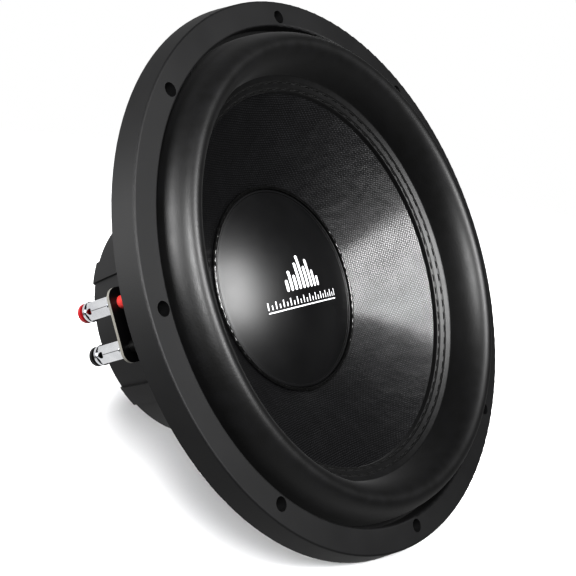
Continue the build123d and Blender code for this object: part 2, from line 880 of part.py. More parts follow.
every = [(angle, pole) for angle in SIDES.values() for pole in POLES.values()]
save("terminal_washers", *[at_angle(terminal_washer(pole), angle) for angle, pole in every])
save("solder_lugs", *[at_angle(solder_lug(pole), angle) for angle, pole in every])
save("terminal_nuts", *[at_angle(terminal_nut(pole), angle) for angle, pole in every])
save("board_rivets", *[at_angle(rivet(pole * rivet_spacing / 2), angle) for angle, pole in every])
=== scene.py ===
import logging
import math
from dataclasses import dataclass, field
from enum import Enum
from typing import ClassVar

import bmesh
import bpy
from mathutils import Matrix, Vector


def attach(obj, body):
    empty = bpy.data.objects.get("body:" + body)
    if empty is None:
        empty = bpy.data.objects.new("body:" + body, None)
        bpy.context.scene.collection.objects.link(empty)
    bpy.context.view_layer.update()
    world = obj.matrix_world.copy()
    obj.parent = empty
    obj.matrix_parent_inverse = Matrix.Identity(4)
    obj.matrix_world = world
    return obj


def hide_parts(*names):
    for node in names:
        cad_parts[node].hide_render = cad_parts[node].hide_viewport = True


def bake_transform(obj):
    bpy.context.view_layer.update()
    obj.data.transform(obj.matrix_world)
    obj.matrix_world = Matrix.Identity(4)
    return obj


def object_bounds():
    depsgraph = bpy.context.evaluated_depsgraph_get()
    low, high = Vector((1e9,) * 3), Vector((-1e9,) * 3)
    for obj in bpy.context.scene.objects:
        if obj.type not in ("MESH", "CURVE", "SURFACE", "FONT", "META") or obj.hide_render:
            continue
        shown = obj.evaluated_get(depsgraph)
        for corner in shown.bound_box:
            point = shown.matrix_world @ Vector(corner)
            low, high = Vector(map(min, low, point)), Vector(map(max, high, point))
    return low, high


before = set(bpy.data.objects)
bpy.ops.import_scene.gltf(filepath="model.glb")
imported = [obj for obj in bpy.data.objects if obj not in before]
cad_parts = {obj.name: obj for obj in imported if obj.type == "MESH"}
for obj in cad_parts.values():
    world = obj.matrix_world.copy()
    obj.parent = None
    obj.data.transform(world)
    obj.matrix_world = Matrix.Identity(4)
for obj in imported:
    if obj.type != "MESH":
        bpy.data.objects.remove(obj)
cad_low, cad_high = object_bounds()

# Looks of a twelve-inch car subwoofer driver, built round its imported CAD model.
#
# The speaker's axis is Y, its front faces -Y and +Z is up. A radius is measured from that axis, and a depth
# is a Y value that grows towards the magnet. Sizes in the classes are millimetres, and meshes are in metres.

MM = 0.001
FULL_TURN = 2 * math.pi
SHARP_ANGLE = math.radians(34)

log = logging.getLogger("subwoofer")

Outline = list[tuple[float, float]]
Inputs = dict[str, object]
Tree = bpy.types.NodeTree
Socket = bpy.types.NodeSocket


class Side(Enum):
    """The two sides of the basket that carry a terminal board."""

    RIGHT = "right"
    LEFT = "left"


class Pole(Enum):
    """The two terminals of one voice-coil winding."""

    POSITIVE = "positive"
    NEGATIVE = "negative"


class Body(Enum):
    """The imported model's bodies that new pieces ride on."""

    FRAME = "frame"
    CONE = "cone_assembly"


# --- Colour and shader helpers ---


def linear(colour: str) -> tuple[float, float, float, float]:
    """Turn an sRGB hex colour into linear values.

    Args:
        colour: Six hex digits after a hash sign.

    Returns:
        Red, green, blue and full opacity, from 0 to 1.
    """
    parts = [int(colour[place : place + 2], 16) / 255 for place in (1, 3, 5)]
    curve = [p / 12.92 if p <= 0.04045 else ((p + 0.055) / 1.055) ** 2.4 for p in parts]
    return (*curve, 1.0)


def per_metre(size_mm: float) -> float:
    """Scale of a pattern whose features are size_mm wide, for coordinates in metres."""
    return 1 / (size_mm * MM)


def add_node(tree: Tree, kind: str, **inputs: object) -> bpy.types.Node:
    """Add one shader node with its settings, constants and links.

    Args:
        tree: The node tree that takes the node.
        kind: Blender's name for the kind of node, without its ShaderNode prefix.
        **inputs: What goes into the node, by name. A name in lower case is a property of the node. Any other
            name is an input socket, with underscores for its spaces, or in0, in1 and so on for a socket by
            its place. A socket as the value is linked, and anything else is the input's constant.

    Returns:
        The new node.
    """
    node = tree.nodes.new("ShaderNode" + kind)
    places = {key: value for key, value in inputs.items() if key[:2] == "in" and key[2:].isdigit()}
    for key, value in inputs.items():
        if key[0].islower() and key not in places:
            setattr(node, key, value)
    for key, value in inputs.items():
        if key[0].islower() and key not in places:
            continue
        socket = node.inputs[int(key[2:]) if key in places else key.replace("_", " ")]
        if isinstance(value, Socket):
            tree.links.new(value, socket)
        else:
            socket.default_value = value
    return node


# --- Finishes ---


@dataclass(frozen=True)
class Finish:
    """One real material: two near colours, and the pattern that picks between them. The woven and wound
    finishes use their darker colour as painted shade in the gaps between threads and turns.
    """

    name: str
    colour: str
    fleck: str
    # Shares up to the first show the plain colour, and those from the second show the plain fleck.
    tone_range: ClassVar[tuple[float, float]] = (0.35, 0.65)

    def build(self) -> bpy.types.Material:
        """Make the material.

        Returns:
            The material, with its shader fed by the finish's own pattern.
        """
        material = bpy.data.materials.new(self.name)
        material.use_nodes = True
        tree = material.node_tree
        tree.nodes.clear()
        place = add_node(tree, "TexCoord").outputs["Object"]
        share, inputs = self.pattern(tree, place)
        ramp = add_node(tree, "ValToRGB", Fac=share)
        ends = ramp.color_ramp.elements
        ends[0].position, ends[0].color = self.tone_range[0], linear(self.colour)
        ends[1].position, ends[1].color = self.tone_range[1], linear(self.fleck)
        shader = add_node(tree, "BsdfPrincipled", Base_Color=ramp.outputs["Color"], **inputs)
        add_node(tree, "OutputMaterial", Surface=shader.outputs["BSDF"])
        return material

    def pattern(self, tree: Tree, place: Socket) -> tuple[Socket, Inputs]:
        """Build the finish's pattern.

        Args:
            tree: The material's node tree.
            place: Coordinates in metres, in the row frame.

        Returns:
            The share that picks between the two colours, and what else goes into the shader, by input name.
        """
        raise NotImplementedError

    def weave(self, tree: Tree, place: Socket, thread_mm: float) -> Socket:
        """Cross two sets of threads along X and Z.

        Args:
            tree: The material's node tree.
            place: Coordinates in metres.
            thread_mm: Distance between threads.

        Returns:
            A wave from -1 to 1: its size is the thread's height, and its sign says which thread is on top.
        """
        split = add_node(tree, "SeparateXYZ", Vector=place)
        waves = []
        for axis in "XZ":
            turns = add_node(
                tree,
                "Math",
                operation="MULTIPLY",
                in0=split.outputs[axis],
                in1=math.pi * per_metre(thread_mm),
            )
            waves.append(add_node(tree, "Math", operation="SINE", in0=turns.outputs[0]).outputs[0])
        return add_node(tree, "Math", operation="MULTIPLY", in0=waves[0], in1=waves[1]).outputs[0]


@dataclass(frozen=True)
class Moulded(Finish):
    """Rubber, plastic or paint with an even colour, a soft mottling and a fine grain."""

    roughness: float
    grain_mm: float
    grain_depth_mm: float
    mottle_mm: float = 14.0
    ior: float = 1.5
    coat: float = 0.0
    coat_roughness: float = 0.1
    sheen: float = 0.0
    glow: float = 0.0

    def pattern(self, tree: Tree, place: Socket) -> tuple[Socket, Inputs]:
        """Mottle the colour and roughness, and raise a grain.

        Args:
            tree: The material's node tree.
            place: Coordinates in metres, in the row frame.

        Returns:
            The share that picks the colour, and the shader's other inputs.
        """
        mottle = add_node(tree, "TexNoise", Vector=place, Scale=per_metre(self.mottle_mm), Detail=3.0)
        grain = add_node(tree, "TexNoise", Vector=place, Scale=per_metre(self.grain_mm), Detail=2.0)
        rough = add_node(
            tree,
            "MapRange",
            Value=mottle.outputs["Fac"],
            To_Min=self.roughness - 0.05,
            To_Max=self.roughness + 0.06,
        )
        relief = add_node(
            tree, "Bump", Height=grain.outputs["Fac"], Strength=1.0, Distance=self.grain_depth_mm * MM
        )
        return mottle.outputs["Fac"], {
            "Roughness": rough.outputs["Result"],
            "Normal": relief.outputs["Normal"],
            "IOR": self.ior,
            "Coat_Weight": self.coat,
            "Coat_Roughness": self.coat_roughness,
            "Sheen_Weight": self.sheen,
            "Sheen_Roughness": 0.5,
            "Subsurface_Weight": self.glow,
            "Subsurface_Scale": 2 * MM,
        }


@dataclass(frozen=True)
class Metal(Finish):
    """Bare or plated metal with the faint lines of its turning, rolling or drawing."""

    roughness: float
    line_mm: float
    line_depth_mm: float
    line_axis: str = "Y"
    mottle_mm: float = 9.0
    # A tool line is this many times longer than it is wide.
    line_stretch: ClassVar[float] = 40.0

    def pattern(self, tree: Tree, place: Socket) -> tuple[Socket, Inputs]:
        """Raise tool lines, and stain the colour and roughness slightly.

        Args:
            tree: The material's node tree.
            place: Coordinates in metres, in the row frame.

        Returns:
            The share that picks the colour, and the shader's other inputs.
        """
        fine, long = per_metre(self.line_mm), per_metre(self.line_stretch * self.line_mm)
        scale = [fine if axis in self.line_axis else long for axis in "XYZ"]
        stretched = add_node(tree, "Mapping", Vector=place, Scale=scale)
        lines = add_node(tree, "TexNoise", Vector=stretched.outputs[0], Scale=1.0, Detail=2.0)
        stain = add_node(tree, "TexNoise", Vector=place, Scale=per_metre(self.mottle_mm), Detail=3.0)
        rough = add_node(
            tree,
            "MapRange",
            Value=stain.outputs["Fac"],
            To_Min=0.85 * self.roughness,
            To_Max=1.2 * self.roughness,
        )
        relief = add_node(
            tree, "Bump", Height=lines.outputs["Fac"], Strength=1.0, Distance=self.line_depth_mm * MM
        )
        return stain.outputs["Fac"], {
            "Roughness": rough.outputs["Result"],
            "Normal": relief.outputs["Normal"],
            "Metallic": 1.0,
        }


@dataclass(frozen=True)
class Woven(Finish):
    """Plain-weave cloth whose threads run along X and Z, seen from the front. The gaps between threads take
    the darker colour as painted shade.
    """

    tone_range: ClassVar[tuple[float, float]] = (0.1, 0.85)
    # How far threads wander from their grid, as a share of their spacing.
    thread_wander: ClassVar[float] = 0.9
    # Height of the threads that pass underneath, as a share of those on top.
    under_height: ClassVar[float] = 0.62
    # Thread heights between which the resin goes from bare to full.
    resin_range: ClassVar[tuple[float, float]] = (0.15, 0.45)
    # Least and most that the fleck of single threads and the wider patches multiply the shade by.
    fleck_range: ClassVar[tuple[float, float]] = (0.35, 1.25)
    patch_range: ClassVar[tuple[float, float]] = (0.7, 1.2)

    thread_mm: float
    thread_depth_mm: float
    roughness: float
    crown_roughness: float
    coat: float = 0.0
    coat_roughness: float = 0.2
    patch_mm: float = 16.0
    crease_depth_mm: float = 0.5

    def pattern(self, tree: Tree, place: Socket) -> tuple[Socket, Inputs]:
        """Raise the thread crowns where warp and weft cross in turn, and paint the gaps between them darker
        as shade.

        Args:
            tree: The material's node tree.
            place: Coordinates in metres, in the row frame.

        Returns:
            The share that picks the colour, and the shader's other inputs.
        """
        wander = add_node(tree, "TexNoise", Vector=place, Scale=per_metre(6 * self.thread_mm), Detail=2.0)
        shifted = add_node(
            tree,
            "VectorMath",
            operation="MULTIPLY_ADD",
            in0=wander.outputs["Color"],
            in1=[self.thread_wander * self.thread_mm * MM] * 3,
            in2=place,
        )
        cross = self.weave(tree, shifted.outputs["Vector"], self.thread_mm)
        crowns = add_node(tree, "Math", operation="ABSOLUTE", in0=cross)
        side = add_node(tree, "Math", operation="SIGN", in0=cross)
        over = add_node(tree, "MapRange", Value=side.outputs[0], To_Min=self.under_height, To_Max=1.0)
        height = add_node(tree, "Math", operation="MULTIPLY", in0=crowns.outputs[0], in1=over.outputs[0])
        patch = add_node(tree, "TexNoise", Vector=place, Scale=per_metre(self.patch_mm), Detail=3.0)
        fleck = add_node(tree, "TexNoise", Vector=place, Scale=per_metre(0.8 * self.thread_mm), Detail=1.0)
        # The thread height picks the colour, so the gaps between threads are painted dark as shade. The
        # fleck and the patches then vary it at random.
        shade = height
        for noise, (low, high) in ((fleck, self.fleck_range), (patch, self.patch_range)):
            amount = add_node(tree, "MapRange", Value=noise.outputs["Fac"], To_Min=low, To_Max=high)
            shade = add_node(tree, "Math", operation="MULTIPLY", in0=shade.outputs[0], in1=amount.outputs[0])
        rough = add_node(
            tree, "MapRange", Value=shade.outputs[0], To_Min=self.roughness, To_Max=self.crown_roughness
        )
        resin = add_node(
            tree,
            "MapRange",
            Value=shade.outputs[0],
            From_Min=self.resin_range[0],
            From_Max=self.resin_range[1],
            To_Max=self.coat,
        )
        creases = add_node(
            tree, "Bump", Height=patch.outputs["Fac"], Strength=1.0, Distance=self.crease_depth_mm * MM
        )
        relief = add_node(
            tree,
            "Bump",
            Height=height.outputs[0],
            Strength=1.0,
            Distance=self.thread_depth_mm * MM,
            Normal=creases.outputs["Normal"],
        )
        return shade.outputs[0], {
            "Roughness": rough.outputs["Result"],
            "Normal": relief.outputs["Normal"],
            "IOR": 1.3,
            "Coat_Weight": resin.outputs[0],
            "Coat_Roughness": self.coat_roughness,
        }


@dataclass(frozen=True)
class Wound(Finish):
    """Enamelled wire in touching turns about the axis. The first colour is painted shade in the groove
    between turns.
    """

    tone_range: ClassVar[tuple[float, float]] = (0.1, 0.6)

    wire_mm: float

    def pattern(self, tree: Tree, place: Socket) -> tuple[Socket, Inputs]:
        """Raise one ridge for each turn of wire, and paint the grooves between turns dark as shade.

        Args:
            tree: The material's node tree.
            place: Coordinates in metres, in the row frame.

        Returns:
            The share that picks the colour, and the shader's other inputs.
        """
        split = add_node(tree, "SeparateXYZ", Vector=place)
        turns = add_node(
            tree, "Math", operation="MULTIPLY", in0=split.outputs["Y"], in1=math.pi * per_metre(self.wire_mm)
        )
        wave = add_node(tree, "Math", operation="SINE", in0=turns.outputs[0])
        ridge = add_node(tree, "Math", operation="ABSOLUTE", in0=wave.outputs[0])
        stain = add_node(tree, "TexNoise", Vector=place, Scale=per_metre(5.0))
        rough = add_node(tree, "MapRange", Value=stain.outputs["Fac"], To_Min=0.25, To_Max=0.42)
        relief = add_node(
            tree, "Bump", Height=ridge.outputs[0], Strength=1.0, Distance=self.wire_mm / 2 * MM
        )
        # The ridge height picks the colour, so the grooves between turns get the painted shade.
        return ridge.outputs[0], {
            "Roughness": rough.outputs["Result"],
            "Normal": relief.outputs["Normal"],
            "Metallic": 0.85,
            "Coat_Weight": 0.6,
            "Coat_Roughness": 0.15,
        }


@dataclass(frozen=True)
class Laminate(Finish):
    """Laminate board: pressed glossy faces in the fleck's colour, and sawn edges in the paler first one."""

    tone_range: ClassVar[tuple[float, float]] = (0.4, 0.8)

    weave_mm: float
    weave_depth_mm: float = 0.01

    def pattern(self, tree: Tree, place: Socket) -> tuple[Socket, Inputs]:
        """Show the core on the cut edges and a pressed weave on the faces.

        Args:
            tree: The material's node tree.
            place: Coordinates in metres, in the row frame.

        Returns:
            The share that picks the colour, and the shader's other inputs.
        """
        shape = add_node(tree, "NewGeometry")
        split = add_node(tree, "SeparateXYZ", Vector=shape.outputs["True Normal"])
        facing = add_node(tree, "Math", operation="ABSOLUTE", in0=split.outputs["Y"])
        rough = add_node(tree, "MapRange", Value=facing.outputs[0], To_Min=0.6, To_Max=0.3)
        relief = add_node(
            tree,
            "Bump",
            Height=self.weave(tree, place, self.weave_mm),
            Strength=1.0,
            Distance=self.weave_depth_mm * MM,
        )
        return facing.outputs[0], {
            "Roughness": rough.outputs["Result"],
            "Normal": relief.outputs["Normal"],
        }


# Compression-moulded rubber: matt, with a soft grain that spreads every highlight into a grey bloom.
TRIM_RUBBER = Moulded("moulded_epdm_rubber", "#070708", "#0b0b0c", 0.56, 0.9, 0.03, 26.0, ior=1.45)
BOOT_RUBBER = Moulded("moulded_nitrile_rubber", "#0f0f10", "#141415", 0.6, 1.1, 0.05, 18.0)
# Heat-pressed polyether foam: a closed satin skin with pinhole pores. The pores are drawn 1.1 mm wide, three
# times their real size, so that they show.
FOAM_SKIN = Moulded("pressed_polyether_foam", "#040404", "#060607", 0.43, 1.1, 0.05, 8.0, sheen=0.04)
# Glass-fibre cloth pressed with black resin: glossy thread crowns over matt gaps, with painted shade in the
# gaps. The real thread is 0.8 mm wide, and it is drawn at 1.15 mm so that it shows.
CONE_CLOTH = Woven("resin_glass_cloth", "#020202", "#2c2c2e", 1.15, 0.1, 0.45, 0.26, 0.85, 0.15, 12.0, 0.9)
# Conex cloth dipped in phenolic resin: matt, with open threads and painted shade in the gaps between them.
SPIDER_CLOTH = Woven("phenolic_conex_cloth", "#0a0908", "#2c2a27", 1.2, 0.25, 0.85, 0.65)
# Vacuum-formed polypropylene with a satin die face: a wide soft highlight.
CAP_POLYMER = Moulded("vacuum_formed_polypropylene", "#060607", "#09090a", 0.38, 0.7, 0.008, 30.0)
# Solvent rubber cement, dried with a wet-looking skin.
GLUE = Moulded("black_rubber_cement", "#070707", "#0b0b0b", 0.2, 2.2, 0.12, 4.0, coat=0.5)
# Pad-printed vinyl ink: opaque white with a slight silver cast.
WHITE_INK = Moulded("pad_printed_vinyl_ink", "#dcdde0", "#eceded", 0.42, 0.5, 0.01, 3.0)
# Bonded polyester thread, three strands twisted: matt black dashes with a slight ridge.
THREAD = Moulded("bonded_polyester_thread", "#010101", "#030303", 0.7, 0.5, 0.1, 2.0, ior=1.35)
# Polyester powder coat, baked: satin with orange peel about 1.6 mm wide.
POWDER_COAT = Moulded("black_powder_coat", "#0d0d0e", "#121213", 0.4, 1.6, 0.03, 20.0)
# Acetal for the clamp ring: even and slightly waxy.
CLAMP_PLASTIC = Moulded("black_acetal", "#0c0c0c", "#101010", 0.45, 0.6, 0.01)
# Polyimide film former: thin amber-brown sheet with a glossy face.
FORMER_FILM = Moulded("polyimide_film", "#5a2f0c", "#6b3a11", 0.28, 3.0, 0.01, 6.0, coat=0.3)
# Hard ferrite, sintered and ground: charcoal with a dull sparkle.
FERRITE = Moulded("sintered_ferrite", "#1c1c1f", "#29292c", 0.55, 0.6, 0.03, 5.0)
# Injection-moulded ABS, polished die: deep red and plain black.
RED_PLASTIC = Moulded("red_abs", "#8a0f17", "#97141c", 0.3, 0.5, 0.005, 5.0)
# Extruded polyamide sleeve: a lighter red that light passes into.
RED_SLEEVE = Moulded("red_polyamide", "#c8403c", "#d04a46", 0.4, 0.5, 0.005, 5.0, glow=0.2)
# The same ABS in plain black: a small sharp highlight.
BLACK_PLASTIC = Moulded("black_abs", "#0b0b0b", "#101010", 0.28, 0.5, 0.005, 5.0)
# Paper-phenolic sheet, pressed between polished plates and sawn: dark glossy faces and a pale matt edge.
BOARD = Laminate("black_phenolic_laminate", "#77756f", "#0b0b0c", 0.9)
# Copper magnet wire under clear enamel: warm fine ridges with a lacquered shine, and painted shade in the
# dark grooves between turns.
COPPER = Wound("enamelled_copper_wire", "#3b1608", "#b4572c", 0.8)
# Bright chromium over turned brass: mirror-like, with fine lathe lines round each barrel.
CHROME = Metal("chromed_brass", "#dfe0e2", "#d2d3d6", 0.09, 0.25, 0.004)
# Nickel plate on pressed steel: softer and yellower than chromium.
NICKEL = Metal("nickel_plated_steel", "#c2beb4", "#aaa69c", 0.24, 0.3, 0.006)
# Copper strip dipped in tin: pale, with an uneven skin.
TIN = Metal("hot_tinned_copper", "#cfd0cd", "#b9bab6", 0.32, 1.2, 0.02, "XYZ")
# Silvered copper ribbon braided over thread: a rough pale glitter.
TINSEL = Metal("silvered_tinsel_braid", "#c3bba8", "#8f8878", 0.4, 0.45, 0.12, "XYZ", 0.6)
# Blanked steel in clear zinc plate: bluish grey and satin.
ZINC = Metal("clear_zinc_plated_steel", "#a9adb2", "#8f9499", 0.34, 0.5, 0.01)
# Forged steel in black zinc plate: dark grey and satin.
YOKE_STEEL = Metal("black_zinc_plated_steel", "#3d3e41", "#2d2e31", 0.36, 0.5, 0.01)
# Aluminium ring, fresh from the lathe: bright with turned lines.
ALUMINIUM = Metal("turned_aluminium", "#d4d5d7", "#c2c4c7", 0.26, 0.3, 0.01)
# Cold-drawn wire, left bare: grey with a soft shine.
SPRING_STEEL = Metal("drawn_spring_steel", "#a7a9ac", "#8a8c8f", 0.28, 0.3, 0.01)
# Alloy screws in oiled black oxide: nearly black, with a dull metal glint.
BLACK_OXIDE = Metal("black_oxide_screw", "#232325", "#19191b", 0.38, 0.4, 0.01)
# Punched steel sheet, phosphated: mid grey and matt.
MESH_STEEL = Metal("perforated_steel_screen", "#5d6064", "#4a4d51", 0.42, 0.5, 0.01)


# --- Mesh helpers ---


def at_place(radius: float, depth: float, angle: float) -> Vector:
    """Point in metres at a radius and depth in millimetres, at an angle from +X towards +Z."""
    return Vector((radius * math.cos(angle), depth, radius * math.sin(angle))) * MM


def arc(
    centre: tuple[float, float], radii: tuple[float, float], ends: tuple[float, float], steps: int
) -> Outline:
    """Points along an ellipse's arc in the plane of radius and depth.

    Args:
        centre: The ellipse's centre.
        radii: Its half-widths along radius and depth.
        ends: First and last angle in degrees, where 0 points outward and 90 points to the front.
        steps: How many steps the arc takes.

    Returns:
        The points, both ends included.
    """
    first, last = (math.radians(end) for end in ends)
    points = []
    for step in range(steps + 1):
        angle = first + (last - first) * step / steps
        points.append((centre[0] + radii[0] * math.cos(angle), centre[1] - radii[1] * math.sin(angle)))
    return points


def rounded(outline: Outline, rounds: dict[int, float], steps: int = 5) -> Outline:
    """Round some corners of an outline.

    Args:
        outline: A closed outline.
        rounds: Radius for each corner to round, by the corner's place in the outline.
        steps: Steps along each round.

    Returns:
        The outline with those corners replaced by curves.
    """
    result: Outline = []
    for index, corner in enumerate(outline):
        if index not in rounds:
            result.append(corner)
            continue
        here = Vector(corner)
        before = Vector(outline[index - 1]) - here
        after = Vector(outline[(index + 1) % len(outline)]) - here
        reach = min(rounds[index], 0.49 * before.length, 0.49 * after.length)
        start = here + before.normalized() * reach
        end = here + after.normalized() * reach
        for step in range(steps + 1):
            share = step / steps
            point = start * (1 - share) ** 2 + here * 2 * share * (1 - share) + end * share**2
            result.append((point.x, point.y))
    return result


def turned_mesh(name: str, outline: Outline, segments: int) -> bpy.types.Mesh:
    """Turn a closed outline about the speaker's axis.

    Args:
        name: Name of the mesh.
        outline: Radius and depth of each point. A point on the axis has radius 0.
        segments: How many segments the turn has.

    Returns:
        The mesh, smooth with sharp edges where it turns sharply.
    """
    work = bmesh.new()
    rings = []
    for radius, depth in outline:
        if radius < 1e-6:
            rings.append([work.verts.new((0, depth * MM, 0))] * segments)
        else:
            turns = [FULL_TURN * step / segments for step in range(segments)]
            rings.append([work.verts.new(at_place(radius, depth, turn)) for turn in turns])
    for index, ring in enumerate(rings):
        following = rings[(index + 1) % len(rings)]
        for step in range(segments):
            after = (step + 1) % segments
            corners = [ring[step], ring[after], following[after], following[step]]
            face = list(dict.fromkeys(corners))
            if len(face) > 2:
                work.faces.new(face)
    return close_mesh(name, work)


def close_mesh(name: str, work: bmesh.types.BMesh) -> bpy.types.Mesh:
    """Give a finished mesh outward faces and smooth shading.

    Args:
        name: Name of the mesh.
        work: The mesh in the making, which is freed.

    Returns:
        The mesh.
    """
    bmesh.ops.recalc_face_normals(work, faces=work.faces)
    mesh = bpy.data.meshes.new(name)
    work.to_mesh(mesh)
    work.free()
    mesh.shade_smooth()
    mesh.set_sharp_from_angle(angle=SHARP_ANGLE)
    return mesh


def sweep_round(
    work: bmesh.types.BMesh,
    points: list[Vector],
    radius: float,
    sides: int,
    ends: float = 1.0,
) -> None:
    """Add a round tube along points, with closed ends.

    Args:
        work: The mesh to add to.
        points: The tube's centreline, in metres.
        radius: The tube's radius in millimetres.
        sides: Sides of its section.
        ends: Share of the radius that the first and last sections keep.
    """
    rings = []
    # Any direction that no tube starts along.
    across = Vector((0.31, 0.2, 0.93))
    for index, point in enumerate(points):
        ahead = (points[min(index + 1, len(points) - 1)] - points[max(index - 1, 0)]).normalized()
        across = (across - ahead * across.dot(ahead)).normalized()
        beside = ahead.cross(across)
        share = ends if index in (0, len(points) - 1) else 1.0
        ring = []
        for side in range(sides):
            turn = FULL_TURN * side / sides
            offset = across * math.cos(turn) + beside * math.sin(turn)
            ring.append(work.verts.new(point + offset * radius * share * MM))
        rings.append(ring)
    for ring, following in zip(rings, rings[1:]):
        for side in range(sides):
            after = (side + 1) % sides
            work.faces.new((ring[side], ring[after], following[after], following[side]))
    work.faces.new(rings[0][::-1])
    work.faces.new(rings[-1])


@dataclass
class Workshop:
    """Makes pieces out of meshes, and dresses them and the carried CAD nodes."""

    built: dict[str, bpy.types.Material] = field(default_factory=dict)

    def material(self, finish: Finish) -> bpy.types.Material:
        """Give a finish's material, made once.

        Args:
            finish: The finish.

        Returns:
            Its material.
        """
        if finish.name not in self.built:
            self.built[finish.name] = finish.build()
        return self.built[finish.name]

    def dress(self, node: str, finish: Finish) -> None:
        """Give a carried CAD node its finish.

        Args:
            node: The node's name.
            finish: The finish that it takes.
        """
        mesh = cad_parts[node].data
        mesh.materials.clear()
        mesh.materials.append(self.material(finish))
        log.info("dressed %s in %s", node, finish.name)

    def piece(
        self, mesh: bpy.types.Mesh, finish: Finish, replaced: tuple[str, ...]
    ) -> bpy.types.Object:
        """Make a piece from a mesh.

        Args:
            mesh: The piece's mesh, in the row frame. The piece takes its name.
            finish: The finish that it takes.
            replaced: The CAD nodes that it stands in for.

        Returns:
            The piece, which rides on nothing yet.
        """
        thing = bpy.data.objects.new(mesh.name, mesh)
        bpy.context.scene.collection.objects.link(thing)
        mesh.materials.clear()
        mesh.materials.append(self.material(finish))
        if replaced:
            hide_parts(*replaced)
        log.info("made %s: %d faces, %s", mesh.name, len(mesh.polygons), finish.name)
        return thing


def blend_round(thing: bpy.types.Object, fixed_radius: float, moving_radius: float) -> None:
    """Bake a piece's transform into its mesh, and work out each vertex's share between the frame and the
    cone by its distance from the axis. The shares are not stored.

    Args:
        thing: The piece, with no parent.
        fixed_radius: Radius in millimetres where the share is 0.
        moving_radius: Radius in millimetres where the share is 1.
    """
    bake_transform(thing)
    for vertex in thing.data.vertices:
        radius = math.hypot(vertex.co.x, vertex.co.z) / MM
        share = (radius - fixed_radius) / (moving_radius - fixed_radius)
        share = min(1.0, max(0.0, share))


# --- Cone assembly ---


@dataclass
class ConeLine:
    """The straight front line of the cone, which the pieces on it follow."""

    slope: float = 0.6
    edge_radius: float = 116.47
    edge_depth: float = -0.6

    def depth(self, radius: float) -> float:
        """Depth of the cone's front face at a radius."""
        return self.edge_depth + self.slope * (self.edge_radius - radius)

    @property
    def stretch(self) -> float:
        """Length along the slope for each millimetre of radius."""
        return math.hypot(1, self.slope)


